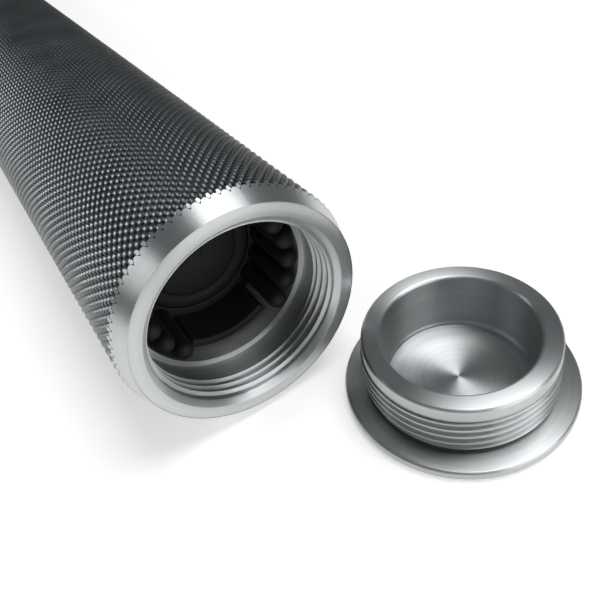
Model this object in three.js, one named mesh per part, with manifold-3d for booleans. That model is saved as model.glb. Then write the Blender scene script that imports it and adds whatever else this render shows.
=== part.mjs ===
// Rod case: a knurled metal tube that lies on its side, a hollow screw plug for each end, and a
// finger-edged retainer inside each end that keeps the rod sections off the plugs.
// Millimetres, +Z up. The tube's axis runs along +Y and its open mouth faces -Y. The origin is
// under the middle of the tube, on the flat facet that the tube rests on.

import * as THREE from 'three';
import { mergeVertices } from 'three/addons/utils/BufferGeometryUtils.js';
import Module from 'manifold-3d';

const wasm = await Module();
wasm.setup();

// ---- driving dimensions -------------------------------------------------------------------

const FACETS = 32; // flat facets around every turned piece, one of them straight down

const tubeLength = 450;
const tubeRadius = 22.5;
const boreRadius = 16.5;
const tubeChamferLength = 4.5;
const tubeChamferDepth = 1.6;

const threadRootRadius = 17.5; // in the tube, to the bottom of the thread grooves
const socketDepth = 11.2; // from the tube's end face to the step where the bore narrows
const mouthChamfer = 1.0;

const runningGap = 0.35; // between threads, and between the retainers and the bore
const seatGap = 0.3; // between pieces that touch on the real object

const flangeThickness = 2.0;
const flangeEdgeBreak = 0.35;
const neckHeight = 11.2; // from the flange's top to the lip's top
const neckWall = 3.75;
const plugFloor = 0.9;
const lipHeight = 2.8;
const lipSetback = 0.3; // the smooth lip is this much smaller than the thread's crests
const lipRound = 0.4;

const sealSection = 0.7; // diameter of the seal's round section
const sealGrooveDepth = 1.3; // below the thread's crests
const sealGrooveWidth = 1.3;

const tipSetback = 0.5; // from a screwed-in plug's lip to the retainer's finger tips
const frontDraw = 2.0; // the front retainer, with its plug off, stands this much further out
const fingerLength = 13.4;
const fingerWidth = 3.6;
const fingersPerSide = 6;
const fingerPitch = 18; // degrees
const guardWallHeight = 9.0; // the plain wall above and below, between the two rows of fingers
const guardWallThickness = 1.8;
const guardWallSpan = 64; // degrees
const guardWallInset = 0.5;
const retainerTurn = -1; // degrees, how far the moulding is turned in the bore
const retainerBase = 3.2;
const retainerRimWidth = 3.9;
const discThickness = 2.4;
const padThickness = 6;

const plugSide = 29.1; // where the removed plug stands: to the side of the tube's axis
const plugAhead = 18.0; // and ahead of the tube's mouth

// ---- derived sizes --------------------------------------------------------------------------

const axisHeight = tubeRadius;
const endY = tubeLength / 2;
const faceRadius = tubeRadius - tubeChamferDepth;
const crestRadius = threadRootRadius - runningGap;
const lipRadius = crestRadius - lipSetback;
const plugBoreRadius = crestRadius - neckWall;
const plugHeight = flangeThickness + neckHeight;
const sealGrooveRadius = crestRadius - sealGrooveDepth;
const sealInnerRadius = sealGrooveRadius + seatGap;
const retainerRadius = boreRadius - seatGap;
const tipDepth = neckHeight + seatGap + tipSetback;
const discRadius = retainerRadius - retainerRimWidth - seatGap;
const padRadius = retainerRadius - seatGap;

// ---- materials --------------------------------------------------------------------------------

function material(color, roughness, metalness) {
  return new THREE.MeshStandardMaterial({ color, roughness, metalness });
}

const knurledSteel = material(0x5b6163, 0.38, 1);
const turnedSteel = material(0xb9bcba, 0.26, 1);
const blackRubber = material(0x141516, 0.7, 0);
const blackNylon = material(0x0e0f11, 0.5, 0);
const blackFoam = material(0x232427, 0.95, 0);

// ---- geometry helpers -------------------------------------------------------------------------

// A turned solid about Y. Facets touch a hole's true radius from outside and a shaft's from
// inside: "circumscribed" grows the radii so that the flats, not the corners, hold the size.
function turned(profile, circumscribed = false) {
  const grow = circumscribed ? 1 / Math.cos(Math.PI / FACETS) : 1;
  const points = profile.map(([radius, y]) => new THREE.Vector2(radius * grow, y));
  return new THREE.LatheGeometry(points, FACETS, Math.PI / FACETS);
}

function ringProfile(innerRadius, outerRadius, bottom, top) {
  return [
    [innerRadius, bottom],
    [outerRadius, bottom],
    [outerRadius, top],
    [innerRadius, top],
    [innerRadius, bottom],
  ];
}

function toManifold(geometry) {
  const bare = geometry.clone();
  bare.deleteAttribute('normal');
  bare.deleteAttribute('uv');
  const merged = mergeVertices(bare, 1e-4);
  return new wasm.Manifold(new wasm.Mesh({
    numProp: 3,
    vertProperties: new Float32Array(merged.attributes.position.array),
    triVerts: new Uint32Array(merged.index.array),
  }));
}

function toGeometry(solid) {
  const mesh = solid.getMesh();
  const geometry = new THREE.BufferGeometry();
  geometry.setAttribute('position', new THREE.BufferAttribute(mesh.vertProperties, 3));
  geometry.setIndex(new THREE.BufferAttribute(mesh.triVerts, 1));
  geometry.computeVertexNormals();
  return geometry;
}

function named(name, geometry, look) {
  const mesh = new THREE.Mesh(geometry, look);
  mesh.name = name;
  return mesh;
}

// ---- tube -----------------------------------------------------------------------------------

// One end of the tube's wall, from the bore's step out to the outer chamfer's far corner.
// "away" is the distance into the tube from that end's face.
const tubeEnd = [
  { radius: boreRadius, away: socketDepth },
  { radius: threadRootRadius, away: socketDepth },
  { radius: threadRootRadius, away: mouthChamfer },
  { radius: threadRootRadius + mouthChamfer, away: 0 },
  { radius: faceRadius, away: 0 },
  { radius: tubeRadius, away: tubeChamferLength },
];

function tubeBody() {
  const front = tubeEnd.map(({ radius, away }) => [radius, away - endY]);
  const rear = tubeEnd.map(({ radius, away }) => [radius, endY - away]).reverse();
  const profile = [...front, ...rear, front[0]];
  return named('tube_body', turned(profile, true), knurledSteel);
}

// ---- screw plugs ------------------------------------------------------------------------------

// The plug stands on its flange with its neck up along +Y.
function plugGeometry() {
  const grooveTop = flangeThickness + sealGrooveWidth;
  const lipBottom = plugHeight - lipHeight;
  return turned([
    [0, 0],
    [faceRadius - flangeEdgeBreak, 0],
    [faceRadius, flangeEdgeBreak],
    [faceRadius, flangeThickness - flangeEdgeBreak],
    [faceRadius - flangeEdgeBreak, flangeThickness],
    [sealGrooveRadius, flangeThickness],
    [sealGrooveRadius, grooveTop],
    [crestRadius, grooveTop],
    [crestRadius, lipBottom - lipSetback],
    [lipRadius, lipBottom],
    [lipRadius, plugHeight - lipRound],
    [lipRadius - lipRound, plugHeight],
    [plugBoreRadius + lipRound, plugHeight],
    [plugBoreRadius, plugHeight - lipRound],
    [plugBoreRadius, plugFloor],
    [0, plugFloor],
  ]);
}

function sealGeometry() {
  const sectionSides = 8;
  const sectionRadius = sealSection / 2;
  const centreY = flangeThickness + sealGrooveWidth / 2;
  const profile = [];
  for (let side = 0; side <= sectionSides; side += 1) {
    const angle = (2 * Math.PI * (side % sectionSides)) / sectionSides;
    profile.push([
      sealInnerRadius + sectionRadius * (1 + Math.cos(angle)),
      centreY + sectionRadius * Math.sin(angle),
    ]);
  }
  return turned(profile, true);
}

function plugSet(prefix) {
  const set = new THREE.Group();
  set.add(named(`${prefix}_plug`, plugGeometry(), turnedSteel));
  set.add(named(`${prefix}_plug_seal`, sealGeometry(), blackRubber));
  return set;
}

// ---- retainers ----------------------------------------------------------------------------------

// A rod with one round end, standing on y = 0.
function finger() {
  const radius = fingerWidth / 2;
  const roundSteps = 4;
  const sides = 12;
  const root = -retainerBase / 2;
  const shoulder = fingerLength - radius;
  const profile = [new THREE.Vector2(0, root), new THREE.Vector2(radius, root)];
  for (let step = 0; step <= roundSteps; step += 1) {
    const angle = (Math.PI / 2) * (step / roundSteps);
    const reach = step === roundSteps ? 0 : radius * Math.cos(angle);
    profile.push(new THREE.Vector2(reach, shoulder + radius * Math.sin(angle)));
  }
  return new THREE.LatheGeometry(profile, sides);
}

// A curved wall centred on the angle "middle", standing on y = 0.
function guardWall(middle) {
  const steps = 12;
  const outer = retainerRadius - guardWallInset;
  const inner = outer - guardWallThickness;
  const span = THREE.MathUtils.degToRad(guardWallSpan);
  const outline = new THREE.Shape();
  for (let step = 0; step <= steps; step += 1) {
    const angle = middle + span * (step / steps - 0.5);
    outline[step ? 'lineTo' : 'moveTo'](outer * Math.cos(angle), outer * Math.sin(angle));
  }
  for (let step = steps; step >= 0; step -= 1) {
    const angle = middle + span * (step / steps - 0.5);
    outline.lineTo(inner * Math.cos(angle), inner * Math.sin(angle));
  }
  const overlap = retainerBase / 2;
  const wall = new THREE.ExtrudeGeometry(outline, {
    depth: guardWallHeight + overlap,
    bevelEnabled: false,
  });
  wall.rotateX(Math.PI / 2);
  return wall.translate(0, guardWallHeight, 0);
}

// The moulding's fingers point along +Y from a base ring that lies below y = 0.
function crownGeometry() {
  const rimInner = retainerRadius - retainerRimWidth;
  let crown = toManifold(turned(ringProfile(rimInner, retainerRadius, -retainerBase, 0)));
  const fingerRing = retainerRadius - fingerWidth / 2;
  for (const side of [0, Math.PI]) {
    for (let index = 0; index < fingersPerSide; index += 1) {
      const offset = (index - (fingersPerSide - 1) / 2) * fingerPitch;
      const angle = side + THREE.MathUtils.degToRad(offset);
      const post = finger();
      post.translate(fingerRing * Math.cos(angle), 0, fingerRing * Math.sin(angle));
      crown = crown.add(toManifold(post));
    }
    crown = crown.add(toManifold(guardWall(side + Math.PI / 2)));
  }
  return toGeometry(crown);
}

// Crown, disc and pad, with the crown's fingers along +Y and its base ring's top on y = 0.
function retainerSet(prefix) {
  const set = new THREE.Group();
  set.add(named(`${prefix}_crown`, crownGeometry(), blackNylon));
  const disc = turned([[0, -discThickness], [discRadius, -discThickness], [discRadius, 0], [0, 0]]);
  set.add(named(`${prefix}_disc`, disc, blackNylon));
  const padTop = -retainerBase - seatGap;
  const padBottom = padTop - padThickness;
  const pad = turned([[0, padBottom], [padRadius, padBottom], [padRadius, padTop], [0, padTop]]);
  set.add(named(`${prefix}_pad`, pad, blackFoam));
  return set;
}

// ---- assembly -----------------------------------------------------------------------------------

const rodCase = new THREE.Group();
const onAxis = new THREE.Group();
onAxis.position.z = axisHeight;
rodCase.add(onAxis);

onAxis.add(tubeBody());

const frontRetainer = retainerSet('front_retainer');
frontRetainer.position.y = -endY + tipDepth - frontDraw + fingerLength;
frontRetainer.rotation.set(Math.PI, THREE.MathUtils.degToRad(retainerTurn), 0);
onAxis.add(frontRetainer);

const rearRetainer = retainerSet('rear_retainer');
rearRetainer.position.y = endY - tipDepth - fingerLength;
onAxis.add(rearRetainer);

const rearPlug = plugSet('rear');
rearPlug.position.y = endY + seatGap + flangeThickness;
rearPlug.rotation.x = Math.PI;
onAxis.add(rearPlug);

const frontPlug = plugSet('front');
frontPlug.position.set(plugSide, -endY - plugAhead, 0);
frontPlug.rotation.x = Math.PI / 2;
rodCase.add(frontPlug);

export default rodCase;
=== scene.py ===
# Rod case: knurled tube with its front plug off, standing beside the open mouth.
import math
import bpy
from mathutils import Matrix, Vector


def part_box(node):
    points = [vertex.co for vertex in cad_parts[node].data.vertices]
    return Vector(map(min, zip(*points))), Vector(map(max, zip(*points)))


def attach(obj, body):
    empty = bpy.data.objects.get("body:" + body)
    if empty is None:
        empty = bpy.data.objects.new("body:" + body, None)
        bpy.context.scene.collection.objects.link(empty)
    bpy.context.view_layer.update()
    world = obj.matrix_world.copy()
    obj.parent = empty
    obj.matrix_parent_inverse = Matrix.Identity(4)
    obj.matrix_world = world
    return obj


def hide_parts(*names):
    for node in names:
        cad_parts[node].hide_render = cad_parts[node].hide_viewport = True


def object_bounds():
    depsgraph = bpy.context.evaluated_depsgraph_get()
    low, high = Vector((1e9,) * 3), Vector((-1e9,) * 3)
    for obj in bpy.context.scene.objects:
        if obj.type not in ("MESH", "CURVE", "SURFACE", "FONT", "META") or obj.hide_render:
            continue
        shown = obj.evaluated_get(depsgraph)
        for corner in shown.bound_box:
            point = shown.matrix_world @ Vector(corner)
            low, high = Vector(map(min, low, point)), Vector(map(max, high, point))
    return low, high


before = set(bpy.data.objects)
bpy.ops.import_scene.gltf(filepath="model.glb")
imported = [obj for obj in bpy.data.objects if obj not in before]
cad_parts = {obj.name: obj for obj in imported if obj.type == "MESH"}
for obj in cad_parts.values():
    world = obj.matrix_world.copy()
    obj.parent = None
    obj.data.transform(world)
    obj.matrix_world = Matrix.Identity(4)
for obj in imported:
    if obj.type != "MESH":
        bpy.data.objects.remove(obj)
cadLow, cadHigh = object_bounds()
mm = 0.001

# Places that everything else is worked out from, in metres.
tubeLow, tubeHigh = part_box("tube_body")
axisHeight = (tubeLow[2] + tubeHigh[2]) / 2
frontEnd = tubeLow[1]
rearEnd = tubeHigh[1]
plugLow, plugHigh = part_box("front_plug")
rearPlugLow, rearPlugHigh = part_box("rear_plug")
frontCrownLow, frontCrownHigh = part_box("front_retainer_crown")
rearCrownLow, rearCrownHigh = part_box("rear_retainer_crown")


def deselectAll():
    if bpy.context.object and bpy.context.object.mode != "OBJECT":
        bpy.ops.object.mode_set(mode="OBJECT")
    bpy.ops.object.select_all(action="DESELECT")


def pickOnly(piece):
    deselectAll()
    piece.select_set(True)
    bpy.context.view_layer.objects.active = piece


def applyModifiers(piece):
    pickOnly(piece)
    for modifier in list(piece.modifiers):
        bpy.ops.object.modifier_apply(modifier=modifier.name)


def settle(piece, matrix):
    # The place goes into the mesh, so the object itself stays at the origin.
    piece.data.transform(matrix)
    piece.data.update()


def selectWhere(mesh, kind, test):
    # Selects vertices, edges or faces of a mesh in object mode by a test on their place.
    bpy.ops.object.mode_set(mode="EDIT")
    bpy.ops.mesh.select_mode(type=kind)
    bpy.ops.mesh.select_all(action="DESELECT")
    bpy.ops.object.mode_set(mode="OBJECT")
    items = {"VERT": mesh.vertices, "EDGE": mesh.edges, "FACE": mesh.polygons}[kind]
    for item in items:
        item.select = bool(test(item))
    bpy.ops.object.mode_set(mode="EDIT")


def turned(name, profile, sides, closed):
    # A lathe piece about Z: a circle is extruded and scaled along the profile of
    # (radius, height) points in mm. A closed profile comes back to its first point.
    deselectAll()
    radius, height = profile[0]
    bpy.ops.mesh.primitive_circle_add(
        vertices=sides, radius=radius * mm, location=(0, 0, height * mm),
        fill_type="NOTHING" if closed else "NGON",
    )
    piece = bpy.context.object
    piece.name = name
    bpy.ops.object.transform_apply(location=True, rotation=True, scale=True)
    bpy.ops.object.mode_set(mode="EDIT")
    bpy.ops.mesh.select_mode(type="EDGE")
    bpy.ops.mesh.select_all(action="SELECT")
    if not closed:
        bpy.ops.mesh.duplicate()
        bpy.ops.mesh.delete(type="ONLY_FACE")
        bpy.ops.mesh.select_all(action="DESELECT")
        bpy.ops.mesh.select_non_manifold()
    for nextRadius, nextHeight in profile[1:]:
        bpy.ops.mesh.extrude_edges_move(
            TRANSFORM_OT_translate={"value": (0, 0, (nextHeight - height) * mm)})
        ratio = nextRadius / radius
        bpy.ops.transform.resize(value=(ratio, ratio, 1), center_override=(0, 0, 0))
        radius, height = nextRadius, nextHeight
    if not closed:
        bpy.ops.mesh.edge_face_add()
    bpy.ops.mesh.select_all(action="SELECT")
    bpy.ops.mesh.remove_doubles(threshold=0.00001)
    bpy.ops.mesh.normals_make_consistent(inside=False)
    bpy.ops.object.mode_set(mode="OBJECT")
    return piece


thread = {
    "pitch": 1.7,
    "tubeRoot": 17.5,
    "tubeCrest": 16.88,
    "plugRoot": 16.6,
    "plugCrest": 17.15,
    "flatWidth": 0.35,
    "flankSlope": math.tan(math.radians(30)),
    "sides": 128,
}


def threadRidge(name, foot, crest, low, high, phase):
    # One screw ridge about Z between two heights, from its foot in the wall to its crest.
    # Its middle passes the +X side at "phase" and climbs one pitch a turn.
    footWidth = thread["flatWidth"] + 2 * abs(crest - foot) * thread["flankSlope"]
    turns = math.ceil((high - low) / thread["pitch"]) + 2
    startTurn = math.floor((low - phase) / thread["pitch"]) - 1
    startHeight = phase + startTurn * thread["pitch"]
    deselectAll()
    bpy.ops.mesh.primitive_plane_add(
        size=mm, rotation=(math.pi / 2, 0, 0), location=((foot + crest) / 2 * mm, 0, 0))
    piece = bpy.context.object
    piece.name = name
    bpy.ops.object.transform_apply(location=True, rotation=True, scale=True)
    middle = (foot + crest) / 2 * mm
    bpy.ops.object.mode_set(mode="EDIT")
    bpy.ops.mesh.select_all(action="SELECT")
    bpy.ops.transform.resize(
        value=(abs(crest - foot), 1, footWidth), center_override=(middle, 0, 0))
    outward = 1 if crest > foot else -1
    selectWhere(piece.data, "VERT", lambda v: (v.co.x - middle) * outward > 0)
    narrowing = thread["flatWidth"] / footWidth
    bpy.ops.transform.resize(value=(1, 1, narrowing), center_override=(middle, 0, 0))
    bpy.ops.mesh.select_all(action="SELECT")
    bpy.ops.transform.translate(value=(0, 0, startHeight * mm))
    bpy.ops.mesh.delete(type="ONLY_FACE")
    bpy.ops.object.mode_set(mode="OBJECT")
    screw = piece.modifiers.new("Screw", "SCREW")
    screw.axis = "Z"
    screw.angle = 2 * math.pi
    screw.screw_offset = thread["pitch"] * mm
    screw.iterations = turns
    screw.steps = thread["sides"]
    screw.render_steps = thread["sides"]
    screw.use_smooth_shade = False
    applyModifiers(piece)
    bpy.ops.object.mode_set(mode="EDIT")
    bpy.ops.mesh.select_mode(type="EDGE")
    bpy.ops.mesh.select_all(action="DESELECT")
    bpy.ops.mesh.select_non_manifold()
    bpy.ops.mesh.fill_holes(sides=4)
    bpy.ops.mesh.select_all(action="SELECT")
    bpy.ops.mesh.normals_make_consistent(inside=False)
    for edgeHeight, direction in ((low, -1), (high, 1)):
        bpy.ops.mesh.select_all(action="SELECT")
        bpy.ops.mesh.bisect(
            plane_co=(0, 0, edgeHeight * mm), plane_no=(0, 0, direction),
            threshold=1e-7, use_fill=True, clear_outer=True)
    bpy.ops.object.mode_set(mode="OBJECT")
    return piece


def joinSolids(piece, other, operation="UNION"):
    # Joins or cuts two closed solids, and the second one is used up.
    pickOnly(piece)
    modifier = piece.modifiers.new("Boolean", "BOOLEAN")
    modifier.operation = operation
    modifier.solver = "MANIFOLD"
    modifier.object = other
    applyModifiers(piece)
    bpy.data.objects.remove(other)
    return piece


def triangles(piece):
    return sum(len(face.vertices) - 2 for face in piece.data.polygons)


tube = {
    "boreRadius": 16.5,
    "outerRadius": (tubeHigh[0] - tubeLow[0]) / 2 / mm,
    "length": (rearEnd - frontEnd) / mm,
    "faceRadius": 20.9,
    "chamferLength": 4.5,
    "socketDepth": 11.2,
    "mouthChamfer": 1.0,
    "reliefStart": 7.2,
    "reliefDepth": 0.15,
    "threadStart": 1.6,
    "threadEnd": 6.9,
    "edgeBevel": 0.16,
    "ridgeSunk": 0.2,  # how far the ridge's foot stands in the wall
    "frontPhase": 0.3,
    "sides": 224,
}

knurl = {
    "around": 84,
    "rows": 205,  # diamonds end to end along the tube
    "depth": 0.5,
    "skinWall": 1.7,
    "pieces": 3,
    "cutterGap": 0.8,  # the cutter's bore stands this far inside the skin
    "nearCone": 0.03,  # mm and radians within which a face lies on the chamfer
    "nearEnd": 0.001,  # mm within which a face lies on the tube's end
    # How far each vertex of the grid is pressed in, as a part of the depth.
    "crossing": 1,
    "groove": 0.5,
    "flank": 0.15,
}


def knurlSkin(name, low, high):
    # A closed ring of the tube's outside between two rows of a fine grid. Each diamond is
    # four columns round and four rows along: its middle stays out, the two families of
    # grooves are pressed in, and they are deepest where they cross.
    columns = 4 * knurl["around"]
    rowHeight = tube["length"] / (4 * knurl["rows"])
    outer = tube["outerRadius"] * mm
    deselectAll()
    bpy.ops.mesh.primitive_cylinder_add(
        vertices=columns, radius=outer, depth=(high - low) * rowHeight * mm,
        location=(0, 0, (low + high) / 2 * rowHeight * mm), end_fill_type="NOTHING")
    piece = bpy.context.object
    piece.name = name
    bpy.ops.object.transform_apply(location=True, rotation=True, scale=True)
    mesh = piece.data

    def runsAlong(edge):
        start, end = (mesh.vertices[index].co.z for index in edge.vertices)
        return abs(start - end) > rowHeight * mm / 2

    # One subdivide makes 100 cuts at most, so the length is quartered first.
    for cuts in (3, (high - low) // 4 - 1):
        selectWhere(mesh, "EDGE", runsAlong)
        bpy.ops.mesh.subdivide(number_cuts=cuts)
        bpy.ops.object.mode_set(mode="OBJECT")

    def spot(vertex):
        column = round(math.atan2(vertex.co.y, vertex.co.x) / (2 * math.pi) * columns)
        row = round(vertex.co.z / mm / rowHeight)
        if (column + row) % 2:
            return "flank"
        if (column + row) % 4 == 2 and (column - row) % 4 == 2:
            return "middle"
        return "crossing" if (column + row) % 4 == (column - row) % 4 else "groove"

    spots = [spot(vertex) for vertex in mesh.vertices]
    for kind in ("flank", "groove", "crossing"):
        selectWhere(mesh, "VERT", lambda vertex: spots[vertex.index] == kind)
        pressed = 1 - knurl[kind] * knurl["depth"] * mm / outer
        bpy.ops.transform.resize(value=(pressed, pressed, 1), center_override=(0, 0, 0))
        bpy.ops.object.mode_set(mode="OBJECT")
    bpy.ops.object.mode_set(mode="EDIT")
    bpy.ops.mesh.select_all(action="SELECT")
    # The longer diagonals are the ones that follow the grooves.
    bpy.ops.mesh.quads_convert_to_tris(quad_method="LONGEST_DIAGONAL")
    bpy.ops.object.mode_set(mode="OBJECT")

    # The two rims are drawn in to the skin's inner radius and bridged.
    inner = (tube["outerRadius"] - knurl["skinWall"]) * mm
    for rim in (low, high):
        selectWhere(mesh, "EDGE", lambda edge: all(
            abs(mesh.vertices[index].co.z - rim * rowHeight * mm) < 1e-6
            for index in edge.vertices))
        bpy.ops.mesh.extrude_edges_move(TRANSFORM_OT_translate={"value": (0, 0, 0)})
        inwards = inner / outer
        bpy.ops.transform.resize(value=(inwards, inwards, 1), center_override=(0, 0, 0))
        bpy.ops.object.mode_set(mode="OBJECT")
        for vertex in mesh.vertices:
            if vertex.select:
                flat = Vector((vertex.co.x, vertex.co.y))
                flat *= inner / flat.length
                vertex.co.x, vertex.co.y = flat
    bpy.ops.object.mode_set(mode="EDIT")
    bpy.ops.mesh.select_mode(type="EDGE")
    bpy.ops.mesh.select_all(action="DESELECT")
    bpy.ops.mesh.select_non_manifold()
    bpy.ops.mesh.bridge_edge_loops()
    bpy.ops.mesh.select_all(action="SELECT")
    bpy.ops.mesh.normals_make_consistent(inside=False)
    bpy.ops.object.mode_set(mode="OBJECT")
    return piece


def colour(hexCode, alpha=1):
    # An sRGB hex colour as the linear values that a shader takes.
    channels = [int(hexCode[place:place + 2], 16) / 255 for place in (1, 3, 5)]
    linear = [c / 12.92 if c <= 0.04045 else ((c + 0.055) / 1.055) ** 2.4 for c in channels]
    return (*linear, alpha)


def addNode(tree, kind, settings=None, links=None):
    node = tree.nodes.new(kind)
    for key, value in (settings or {}).items():
        if isinstance(key, int) or key in node.inputs:
            node.inputs[key].default_value = value
        else:
            setattr(node, key, value)
    for key, socket in (links or {}).items():
        tree.links.new(socket, node.inputs[key])
    return node


def newMaterial(name, settings):
    material = bpy.data.materials.new(name)
    material.use_nodes = True
    shader = material.node_tree.nodes["Principled BSDF"]
    for key, value in settings.items():
        shader.inputs[key].default_value = value
    return material, material.node_tree, shader


def polarCoordinates(tree, centre, turn):
    # Distance from a turning axis and distance along it, in metres. The Mapping node
    # brings the piece's axis onto Z.
    place = addNode(tree, "ShaderNodeTexCoord")
    centred = addNode(tree, "ShaderNodeVectorMath",
                      {"operation": "SUBTRACT", 1: centre}, {0: place.outputs["Object"]})
    upright = addNode(tree, "ShaderNodeMapping",
                      {"Rotation": turn}, {"Vector": centred.outputs[0]})
    parts = addNode(tree, "ShaderNodeSeparateXYZ", None, {0: upright.outputs[0]})
    flat = addNode(tree, "ShaderNodeCombineXYZ", None,
                   {"X": parts.outputs["X"], "Y": parts.outputs["Y"]})
    radius = addNode(tree, "ShaderNodeVectorMath", {"operation": "LENGTH"},
                     {0: flat.outputs[0]})
    return radius.outputs["Value"], parts.outputs["Z"]


turnedFinish = {
    "colour": "#c4c6c7",
    "shade": "#bcbfc0",
    "roughness": 0.38,
    "anisotropy": 0.85,
    "markWidth": 0.12,  # mm between tool marks; real ones are finer and wouldn't show
    "markDepth": 0.01,
    "markStrength": 0.35,
    "bandWidth": 10 / 9,  # mm across the slow changes of tone
}


def turnedSteel(name, centre, turn, axis):
    # Bare aluminium bar, faced and bored on a lathe: fine rings round the axis smear every
    # highlight across them into a bow tie or a streak. Only its slot's name says steel.
    material, tree, shader = newMaterial(name, {
        "Metallic": 1, "Roughness": turnedFinish["roughness"],
        "Anisotropic": turnedFinish["anisotropy"], "Anisotropic Rotation": 0.25})
    radius, along = polarCoordinates(tree, centre, turn)
    rings = addNode(tree, "ShaderNodeCombineXYZ", None, {"X": radius, "Y": along})
    marks = addNode(tree, "ShaderNodeTexNoise", {
        "noise_dimensions": "2D", "Scale": 1 / (turnedFinish["markWidth"] * mm),
        "Detail": 2, "Roughness": 0.6}, {"Vector": rings.outputs[0]})
    bump = addNode(tree, "ShaderNodeBump", {
        "Strength": turnedFinish["markStrength"], "Distance": turnedFinish["markDepth"] * mm},
        {"Height": marks.outputs["Fac"]})
    bands = addNode(tree, "ShaderNodeTexNoise", {
        "noise_dimensions": "2D", "Scale": 1 / (turnedFinish["bandWidth"] * mm),
        "Detail": 3}, {"Vector": rings.outputs[0]})
    tone = addNode(tree, "ShaderNodeValToRGB", None, {"Fac": bands.outputs["Fac"]})
    tone.color_ramp.elements[0].color = colour(turnedFinish["shade"])
    tone.color_ramp.elements[0].position = 0.35
    tone.color_ramp.elements[1].color = colour(turnedFinish["colour"])
    tone.color_ramp.elements[1].position = 0.6
    tree.links.new(tone.outputs["Color"], shader.inputs["Base Color"])
    tree.links.new(bump.outputs["Normal"], shader.inputs["Normal"])
    tangent = addNode(tree, "ShaderNodeTangent", {"direction_type": "RADIAL", "axis": axis})
    tree.links.new(tangent.outputs[0], shader.inputs["Tangent"])
    return material


knurlFinish = {
    # The valley colour is painted shade in the grooves, and the crest colour is a painted highlight on
    # the points.
    "paintedValleyShade": "#17191a",
    "flank": "#505455",
    "crest": "#7d8183",
    "roughness": 0.34,
}


def knurledSteel(name, centre, turn):
    # Rolled diamond knurl on aluminium, anodised dark grey. The colour follows the depth: the grooves
    # are painted dark as painted shade and the points painted lighter as a painted highlight. Only its
    # slot's name says steel.
    material, tree, shader = newMaterial(name, {"Metallic": 1})
    radius = polarCoordinates(tree, centre, turn)[0]
    # Painted shade and highlight: the colour darkens with depth into the grooves and lightens out to the
    # points.
    depth = addNode(tree, "ShaderNodeMapRange", {
        "From Min": (tube["outerRadius"] - knurl["depth"]) * mm,
        "From Max": tube["outerRadius"] * mm}, {"Value": radius})
    tone = addNode(tree, "ShaderNodeValToRGB", None, {"Fac": depth.outputs[0]})
    tone.color_ramp.elements[0].color = colour(knurlFinish["paintedValleyShade"])
    tone.color_ramp.elements[0].position = 0.08
    tone.color_ramp.elements[1].color = colour(knurlFinish["crest"])
    tone.color_ramp.elements[1].position = 0.96
    middle = tone.color_ramp.elements.new(0.5)
    middle.color = colour(knurlFinish["flank"])
    place = addNode(tree, "ShaderNodeTexCoord")
    patches = addNode(tree, "ShaderNodeTexNoise", {"Scale": 90, "Detail": 3},
                      {"Vector": place.outputs["Object"]})
    dullness = addNode(tree, "ShaderNodeMapRange", {
        "From Min": 0.3, "From Max": 0.7, "To Min": knurlFinish["roughness"] - 0.05,
        "To Max": knurlFinish["roughness"] + 0.08}, {"Value": patches.outputs["Fac"]})
    grain = addNode(tree, "ShaderNodeTexNoise", {"Scale": 1 / (0.12 * mm), "Detail": 2},
                    {"Vector": place.outputs["Object"]})
    bump = addNode(tree, "ShaderNodeBump", {"Strength": 0.2, "Distance": 0.02 * mm},
                   {"Height": grain.outputs["Fac"]})
    tree.links.new(tone.outputs["Color"], shader.inputs["Base Color"])
    tree.links.new(dullness.outputs[0], shader.inputs["Roughness"])
    tree.links.new(bump.outputs["Normal"], shader.inputs["Normal"])
    return material


def mouldedNylon():
    # Black glass-filled nylon from a mould: nearly black, with a faint grain that keeps
    # its highlights soft.
    material, tree, shader = newMaterial("blackNylon", {"Roughness": 0.7, "IOR": 1.53})
    place = addNode(tree, "ShaderNodeTexCoord")
    grain = addNode(tree, "ShaderNodeTexNoise", {"Scale": 1 / (0.35 * mm), "Detail": 3},
                    {"Vector": place.outputs["Object"]})
    tone = addNode(tree, "ShaderNodeMix", {
        "data_type": "RGBA", 6: colour("#020203"), 7: colour("#060708")},
        {0: grain.outputs["Fac"]})
    bump = addNode(tree, "ShaderNodeBump", {"Strength": 0.25, "Distance": 0.03 * mm},
                   {"Height": grain.outputs["Fac"]})
    tree.links.new(tone.outputs[2], shader.inputs["Base Color"])
    tree.links.new(bump.outputs["Normal"], shader.inputs["Normal"])
    return material


def sealRubber():
    # Nitrile seal ring: matt black with a bloom of dust.
    material, tree, shader = newMaterial("sealRubber", {"Roughness": 0.6, "IOR": 1.52})
    place = addNode(tree, "ShaderNodeTexCoord")
    bloom = addNode(tree, "ShaderNodeTexNoise", {"Scale": 700, "Detail": 4},
                    {"Vector": place.outputs["Object"]})
    tone = addNode(tree, "ShaderNodeMix", {
        "data_type": "RGBA", 6: colour("#101112"), 7: colour("#2a2b2c")},
        {0: bloom.outputs["Fac"]})
    tree.links.new(tone.outputs[2], shader.inputs["Base Color"])
    return material


def cellFoam():
    # Closed-cell foam: small round cells, cut open on the surface.
    material, tree, shader = newMaterial("cellFoam", {"Roughness": 0.95, "IOR": 1.45})
    place = addNode(tree, "ShaderNodeTexCoord")
    cells = addNode(tree, "ShaderNodeTexVoronoi", {"Scale": 1 / (0.9 * mm)},
                    {"Vector": place.outputs["Object"]})
    tone = addNode(tree, "ShaderNodeMix", {
        "data_type": "RGBA", 6: colour("#17181a"), 7: colour("#3a3c40")},
        {0: cells.outputs["Distance"]})
    bump = addNode(tree, "ShaderNodeBump", {"Strength": 0.6, "Distance": 0.15 * mm},
                   {"Height": cells.outputs["Distance"]})
    tree.links.new(tone.outputs[2], shader.inputs["Base Color"])
    tree.links.new(bump.outputs["Normal"], shader.inputs["Normal"])
    return material


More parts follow.
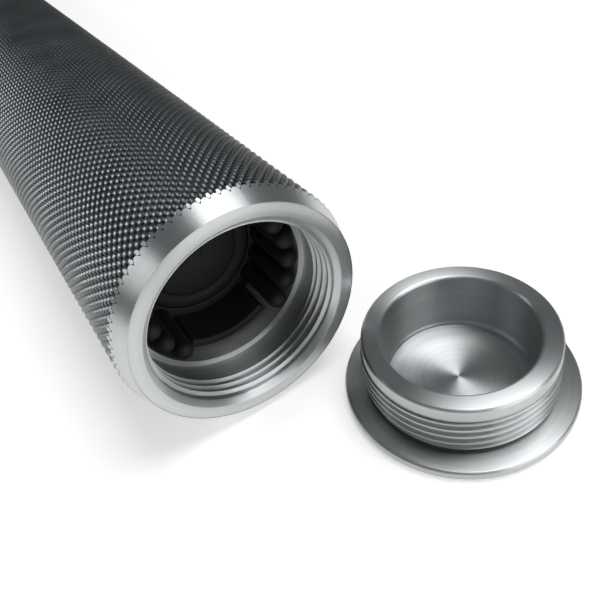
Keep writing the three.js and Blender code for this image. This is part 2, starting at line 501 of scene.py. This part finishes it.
tubeAxis = (0, 0, axisHeight)
lyingTurn = (math.pi / 2, 0, 0)
plugCentre = ((plugLow[0] + plugHigh[0]) / 2, (plugLow[1] + plugHigh[1]) / 2, 0)
knurledMetal = knurledSteel("knurledSteel", tubeAxis, lyingTurn)
tubeMetal = turnedSteel("turnedSteelLying", tubeAxis, lyingTurn, "Y")
plugMetal = turnedSteel("turnedSteelStanding", plugCentre, (0, 0, 0), "Z")
nylon = mouldedNylon()
rubber = sealRubber()
foam = cellFoam()
print("materials made")


def finishPiece(piece, materials, body, node, smoothAngle=30):
    if materials:
        piece.data.materials.clear()
    for material in materials:
        piece.data.materials.append(material)
    pickOnly(piece)
    bpy.ops.object.shade_smooth_by_angle(angle=math.radians(smoothAngle))
    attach(piece, body)
    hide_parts(node)
    print(piece.name, triangles(piece), "triangles")


def bevelEdges(piece, width, segments=3, angle=30):
    modifier = piece.modifiers.new("Bevel", "BEVEL")
    modifier.width = width * mm
    modifier.segments = segments
    modifier.limit_method = "ANGLE"
    modifier.angle_limit = math.radians(angle)
    modifier.use_clamp_overlap = True
    applyModifiers(piece)


alongTube = Matrix.Translation((0, frontEnd, axisHeight)) @ Matrix.Rotation(-math.pi / 2, 4, "X")
skinInner = tube["outerRadius"] - knurl["skinWall"]
threadPhase = 3.9  # mm up the plug where its ridge crosses the +X side
seated = (rearPlugHigh[1] - rearEnd) / mm  # from the tube's rear end to the plug's outer face


def makeTubeCore():
    root = thread["tubeRoot"]
    relief = root + tube["reliefDepth"]
    endProfile = [
        (tube["boreRadius"], tube["socketDepth"]),
        (relief, tube["socketDepth"]),
        (relief, tube["reliefStart"]),
        (root, tube["reliefStart"] - tube["reliefDepth"]),
        (root, tube["mouthChamfer"]),
        (root + tube["mouthChamfer"], 0),
        (skinInner, 0),
    ]
    length = tube["length"]
    rear = [(radius, length - away) for radius, away in reversed(endProfile)]
    core = turned("tubeCore", endProfile + rear + endProfile[:1], tube["sides"], True)
    bevelEdges(core, tube["edgeBevel"], 2)
    foot = root + tube["ridgeSunk"]
    front = threadRidge("frontThread", foot, thread["tubeCrest"], tube["threadStart"],
                        tube["threadEnd"], tube["frontPhase"])
    joinSolids(core, front)
    rearPhase = length - (threadPhase + thread["pitch"] / 2 - seated)
    rearRidge = threadRidge("rearThread", foot, thread["tubeCrest"], length - tube["threadEnd"],
                            length - tube["threadStart"], rearPhase)
    joinSolids(core, rearRidge)
    settle(core, alongTube)
    finishPiece(core, [tubeMetal], "tube", "tube_body", 25)


def makeKnurl():
    slope = (tube["outerRadius"] - tube["faceRadius"]) / tube["chamferLength"]
    past = 1.0  # mm that the cutting shape runs past the tube's ends
    inside = skinInner - knurl["cutterGap"]
    wide = tube["outerRadius"] + slope * past
    length = tube["length"]
    coneAngle = math.atan(slope)
    for number in range(knurl["pieces"]):
        low = 4 * (knurl["rows"] * number // knurl["pieces"])
        high = 4 * (knurl["rows"] * (number + 1) // knurl["pieces"])
        skin = knurlSkin(f"knurledSkin{number + 1}", low, high)
        skin.data.materials.append(knurledMetal)
        if number in (0, knurl["pieces"] - 1):
            cutter = turned("cutter", [
                (inside, -past), (tube["faceRadius"] - slope * past, -past),
                (wide, tube["chamferLength"] + past), (wide, length - tube["chamferLength"] - past),
                (tube["faceRadius"] - slope * past, length + past), (inside, length + past),
                (inside, -past)], tube["sides"], True)
            joinSolids(skin, cutter, "INTERSECT")
            skin.data.materials.clear()
            skin.data.materials.append(knurledMetal)
            skin.data.materials.append(tubeMetal)
            for face in skin.data.polygons:
                face.material_index = 0
                flat = Vector((face.center.x, face.center.y))
                away = min(face.center.z, length * mm - face.center.z) / mm
                onCone = tube["faceRadius"] + slope * away
                steep = abs(math.asin(max(-1, min(1, face.normal.z))))
                offCone = max(abs(flat.length / mm - onCone), abs(steep - coneAngle))
                if offCone < knurl["nearCone"] or away < knurl["nearEnd"]:
                    face.material_index = 1
        settle(skin, alongTube)
        finishPiece(skin, [], "tube", "tube_body", 50)
        if number in (0, knurl["pieces"] - 1):
            # The chamfer keeps a crisp edge against the cut diamonds.
            selectWhere(skin.data, "FACE", lambda face: face.material_index == 1)
            bpy.ops.mesh.region_to_loop()
            bpy.ops.mesh.mark_sharp()
            bpy.ops.object.mode_set(mode="OBJECT")


plug = {
    "flangeRadius": (plugHigh[0] - plugLow[0]) / 2 / mm,
    "flangeThickness": 2.0,
    "flangeEdge": 0.35,
    "flangeDish": 0.25,
    "sealGroove": 1.3,
    "sealGrooveRadius": 15.85,
    "height": (plugHigh[2] - plugLow[2]) / mm,
    "lipHeight": 2.8,
    "lipRadius": 16.85,
    "boreRadius": 13.4,
    "floor": 0.9,
    "rounding": 0.4,
    "boreEdge": 0.4,
    "floorStep": 0.4,  # the groove round the floor's edge
    "dishWidth": 1.6,
    "shoulder": 0.2,
    "runOut": 0.4,  # plain neck between the thread and the lip
    "ridgeSunk": 0.2,
    "ridgeStart": 0.1,
    "ridgeStop": 0.3,
    "edgeBevel": 0.18,
    "sides": 192,
}


def makePlug(name, matrix, metal, body, node):
    flange = plug["flangeRadius"]
    edge = plug["flangeEdge"]
    top = plug["flangeThickness"]
    groove = plug["sealGrooveRadius"]
    lipFoot = plug["height"] - plug["lipHeight"]
    roundness = plug["rounding"]
    floorStep = plug["floorStep"]
    piece = turned(name, [
        (flange - edge, 0),
        (flange, edge),
        (flange, top - edge),
        (flange - edge, top),
        (groove + plug["dishWidth"], top - plug["flangeDish"]),
        (groove, top - plug["flangeDish"]),
        (groove, top + plug["sealGroove"]),
        (thread["plugRoot"], top + plug["sealGroove"] + plug["shoulder"]),
        (thread["plugRoot"], lipFoot - plug["runOut"]),
        (plug["lipRadius"], lipFoot),
        (plug["lipRadius"], plug["height"] - roundness),
        (plug["lipRadius"] - roundness, plug["height"]),
        (plug["boreRadius"] + plug["boreEdge"], plug["height"]),
        (plug["boreRadius"], plug["height"] - plug["boreEdge"]),
        (plug["boreRadius"], plug["floor"] + 2 * floorStep),
        (plug["boreRadius"] - floorStep, plug["floor"] + floorStep),
        (plug["boreRadius"] - floorStep, plug["floor"]),
    ], plug["sides"], False)
    bevelEdges(piece, plug["edgeBevel"], 3)
    ridge = threadRidge(
        name + "Thread", thread["plugRoot"] - plug["ridgeSunk"], thread["plugCrest"],
        top + plug["sealGroove"] + plug["ridgeStart"], lipFoot - plug["ridgeStop"], threadPhase)
    joinSolids(piece, ridge)
    settle(piece, matrix)
    finishPiece(piece, [metal], body, node, 25)


seal = {"major": 16.5, "minor": 0.36, "centre": 2.65, "partingLine": 1.0015}


def makeSeal(name, matrix, body, node):
    deselectAll()
    bpy.ops.mesh.primitive_torus_add(
        location=(0, 0, seal["centre"] * mm), major_segments=128, minor_segments=20,
        major_radius=seal["major"] * mm, minor_radius=seal["minor"] * mm)
    piece = bpy.context.object
    piece.name = name
    bpy.ops.object.transform_apply(location=True, rotation=True, scale=True)
    # The mould's parting line: the outermost loop stands a hair proud.
    outermost = (seal["major"] + seal["minor"]) * mm
    selectWhere(piece.data, "VERT", lambda v: math.hypot(v.co.x, v.co.y) > outermost - 1e-6)
    proud = seal["partingLine"]
    bpy.ops.transform.resize(value=(proud, proud, 1), center_override=(0, 0, 0))
    bpy.ops.object.mode_set(mode="OBJECT")
    settle(piece, matrix)
    finishPiece(piece, [rubber], body, node, 60)


retainer = {
    "radius": 16.2,
    "base": 3.2,
    "rim": 3.9,
    "fingerLength": 13.4,
    "fingerWidth": 3.6,
    "fingersPerSide": 6,
    "fingerPitch": 18,
    "guardHeight": 9.0,
    "guardThickness": 1.8,
    "guardSpan": 64,
    "guardInset": 0.5,
    "turn": -1,
    "disc": 2.4,
    "gap": 0.3,
    "tipFlat": 0.12,  # left flat in the middle of a finger's round end
    "wallBevel": 0.35,
    "rimBevel": 0.3,
    "discBevel": 0.15,
    "discGroove": 0.35,
    "discRing": (1.6, 2.6),  # from the disc's edge to the two sides of its groove
    "discDimple": (2.4, 2.0),
    "padGap": 0.15,
    "padBelow": 0.1,
    "padThick": 5.8,
    "padRound": 0.9,
}


def makeFinger():
    # One round-ended finger beside the axis, standing in the base ring.
    radius = retainer["fingerWidth"] / 2
    sunk = retainer["base"] / 2
    height = retainer["fingerLength"] + sunk
    deselectAll()
    bpy.ops.mesh.primitive_cylinder_add(
        vertices=20, radius=radius * mm, depth=height * mm,
        location=((retainer["radius"] - radius) * mm, 0, (height / 2 - sunk) * mm))
    piece = bpy.context.object
    bpy.ops.object.transform_apply(location=True, rotation=True, scale=True)
    tip = retainer["fingerLength"] * mm
    selectWhere(piece.data, "FACE", lambda f: f.center.z > tip - 1e-6)
    bpy.ops.mesh.bevel(offset=(radius - retainer["tipFlat"]) * mm, segments=5, profile=0.5)
    bpy.ops.object.mode_set(mode="OBJECT")
    return piece


def makeGuardWall():
    outer = retainer["radius"] - retainer["guardInset"]
    middle = outer - retainer["guardThickness"] / 2
    sunk = retainer["base"] / 2
    height = retainer["guardHeight"] + sunk
    span = math.radians(retainer["guardSpan"])
    deselectAll()
    bpy.ops.mesh.primitive_plane_add(
        size=mm, rotation=(math.pi / 2, 0, 0), location=(middle * mm, 0, (height / 2 - sunk) * mm))
    piece = bpy.context.object
    bpy.ops.object.transform_apply(location=True, rotation=True, scale=True)
    bpy.ops.object.mode_set(mode="EDIT")
    bpy.ops.mesh.select_all(action="SELECT")
    bpy.ops.transform.resize(
        value=(retainer["guardThickness"], 1, height),
        center_override=(middle * mm, 0, (height / 2 - sunk) * mm))
    bpy.ops.mesh.spin(steps=32, angle=span, center=(0, 0, 0), axis=(0, 0, 1))
    bpy.ops.mesh.select_all(action="SELECT")
    bpy.ops.mesh.remove_doubles(threshold=1e-6)
    bpy.ops.mesh.normals_make_consistent(inside=False)
    bpy.ops.object.mode_set(mode="OBJECT")
    piece.data.transform(Matrix.Rotation(math.pi / 2 - span / 2 * spinSense(piece), 4, "Z"))
    bevelEdges(piece, retainer["wallBevel"], 3)
    return piece


def spinSense(piece):
    # +1 where the spin ran from X towards Y, -1 where it ran the other way.
    return 1 if sum(vertex.co.y for vertex in piece.data.vertices) > 0 else -1


def copyTurned(piece, angle):
    copy = piece.copy()
    copy.data = piece.data.copy()
    bpy.context.scene.collection.objects.link(copy)
    copy.data.transform(Matrix.Rotation(angle, 4, "Z"))
    return copy


def makeCrown(name, matrix, body, node):
    outer = retainer["radius"]
    inner = outer - retainer["rim"]
    base = retainer["base"]
    crown = turned(name, [(inner, -base), (outer, -base), (outer, 0), (inner, 0), (inner, -base)],
                   128, True)
    bevelEdges(crown, retainer["rimBevel"], 3)
    parts = []
    firstFinger = makeFinger()
    firstWall = makeGuardWall()
    for side in (0, math.pi):
        for index in range(retainer["fingersPerSide"]):
            step = index - (retainer["fingersPerSide"] - 1) / 2
            angle = side + math.radians(step * retainer["fingerPitch"])
            parts.append(copyTurned(firstFinger, angle))
        parts.append(copyTurned(firstWall, side))
    bpy.data.objects.remove(firstFinger)
    bpy.data.objects.remove(firstWall)
    deselectAll()
    for part in parts:
        part.select_set(True)
    bpy.context.view_layer.objects.active = parts[0]
    bpy.ops.object.join()
    joinSolids(crown, bpy.context.object)
    settle(crown, matrix)
    finishPiece(crown, [nylon], body, node, 40)


def makeDisc(name, matrix, body, node):
    radius = retainer["radius"] - retainer["rim"] - retainer["gap"]
    thick = retainer["disc"]
    groove = retainer["discGroove"]
    near, far = retainer["discRing"]
    rim, pit = retainer["discDimple"]
    piece = turned(name, [
        (radius, -thick), (radius, 0), (radius - near, 0), (radius - near - groove, -groove),
        (radius - far, -groove), (radius - far - groove, 0), (rim, 0), (pit, -groove)], 128, False)
    bevelEdges(piece, retainer["discBevel"], 2)
    settle(piece, matrix)
    finishPiece(piece, [nylon], body, node, 30)


def makePad(name, matrix, body, node):
    radius = retainer["radius"] - retainer["gap"] - retainer["padGap"]
    top = -retainer["base"] - retainer["gap"] - retainer["padBelow"]
    bottom = top - retainer["padThick"]
    piece = turned(name, [(radius, bottom), (radius, top)], 96, False)
    bevelEdges(piece, retainer["padRound"], 4)
    settle(piece, matrix)
    finishPiece(piece, [foam], body, node, 50)


makeTubeCore()
makeKnurl()
standing = Matrix.Translation((plugCentre[0], plugCentre[1], plugLow[2]))
seatedPlug = (Matrix.Translation((0, rearPlugHigh[1], axisHeight))
              @ Matrix.Rotation(math.pi / 2, 4, "X"))
makePlug("frontPlug", standing, plugMetal, "loose_front_plug", "front_plug")
makeSeal("frontSeal", standing, "loose_front_plug", "front_plug_seal")
makePlug("rearPlug", seatedPlug, tubeMetal, "rear_screw_plug", "rear_plug")
makeSeal("rearSeal", seatedPlug, "rear_seal", "rear_plug_seal")

frontBase = frontCrownLow[1] + retainer["fingerLength"] * mm
frontPlace = (Matrix.Translation((0, frontBase, axisHeight))
              @ Matrix.Rotation(math.pi / 2, 4, "X")
              @ Matrix.Rotation(math.radians(retainer["turn"]), 4, "Z"))
rearBase = rearCrownHigh[1] - retainer["fingerLength"] * mm
rearPlace = Matrix.Translation((0, rearBase, axisHeight)) @ Matrix.Rotation(-math.pi / 2, 4, "X")
for end, matrix, body in (("front", frontPlace, "front_retainer"), ("rear", rearPlace, "tube")):
    makeCrown(f"{end}Crown", matrix, body, f"{end}_retainer_crown")
    makeDisc(f"{end}Disc", matrix, body, f"{end}_retainer_disc")
    makePad(f"{end}Pad", matrix, body, f"{end}_retainer_pad")
print("pieces made")


studio = {
    "floor": "#f4f4f2",
    "floorGlow": 0.45,
    "world": "#9da1a4",
    "worldStrength": 0.33,
    "lights": [
        # name, place, aimed at, width and height in metres, watts
        ("overhead", (0.3, -0.28, 0.9), (0, -0.22, 0), (0.58, 0.58), 5.4),
        ("leftStrip", (-0.62, 0.42, 0.42), (0, -0.22, 0.02), (0.22, 0.5), 3.0),
        ("front", (0.25, -1.1, 0.35), (0.02, -0.22, 0.02), (0.8, 0.4), 2.9),
    ],
}


def makeFloor():
    deselectAll()
    bpy.ops.mesh.primitive_plane_add(size=8, location=(0, 0, cadLow[2] - 0.0002))
    floor = bpy.context.object
    floor.name = "floor"
    material, tree, shader = newMaterial("paleFloor", {
        "Base Color": colour(studio["floor"]), "Roughness": 0.9,
        "Emission Color": colour(studio["floor"]), "Emission Strength": studio["floorGlow"]})
    floor.data.materials.append(material)


def makeLights():
    for name, place, target, size, power in studio["lights"]:
        lamp = bpy.data.lights.new(name, "AREA")
        lamp.shape = "RECTANGLE"
        lamp.size, lamp.size_y = size
        lamp.energy = power
        light = bpy.data.objects.new(name, lamp)
        bpy.context.scene.collection.objects.link(light)
        aim = Vector(target) - Vector(place)
        light.matrix_world = Matrix.Translation(place) @ aim.to_track_quat("-Z", "Y").to_matrix().to_4x4()
    world = bpy.data.worlds.new("studio")
    world.use_nodes = True
    background = world.node_tree.nodes["Background"]
    background.inputs["Color"].default_value = colour(studio["world"])
    background.inputs["Strength"].default_value = studio["worldStrength"]
    bpy.context.scene.world = world
    bpy.context.scene.view_settings.view_transform = "Standard"


view = {
    "aim": (8.67, -226.97, 22.5),
    "distance": 103.9,
    "azimuth": 23.8,  # degrees from +Y towards +X
    "elevation": 42.7,
    "roll": -13.2,
    "lens": 37.2,
}


def makeCamera():
    data = bpy.data.cameras.new("camera")
    data.lens = view["lens"]
    data.sensor_width = 36
    data.clip_start = 0.01
    camera = bpy.data.objects.new("camera", data)
    bpy.context.scene.collection.objects.link(camera)
    azimuth, elevation = math.radians(view["azimuth"]), math.radians(view["elevation"])
    along = Vector((math.sin(azimuth) * math.cos(elevation),
                    math.cos(azimuth) * math.cos(elevation), -math.sin(elevation)))
    place = (Vector(view["aim"]) - along * view["distance"]) * mm
    camera.matrix_world = (Matrix.Translation(place) @ along.to_track_quat("-Z", "Y").to_matrix().to_4x4()
                           @ Matrix.Rotation(math.radians(view["roll"]), 4, "Z"))
    bpy.context.scene.camera = camera


makeFloor()
makeLights()
makeCamera()
print("studio made")
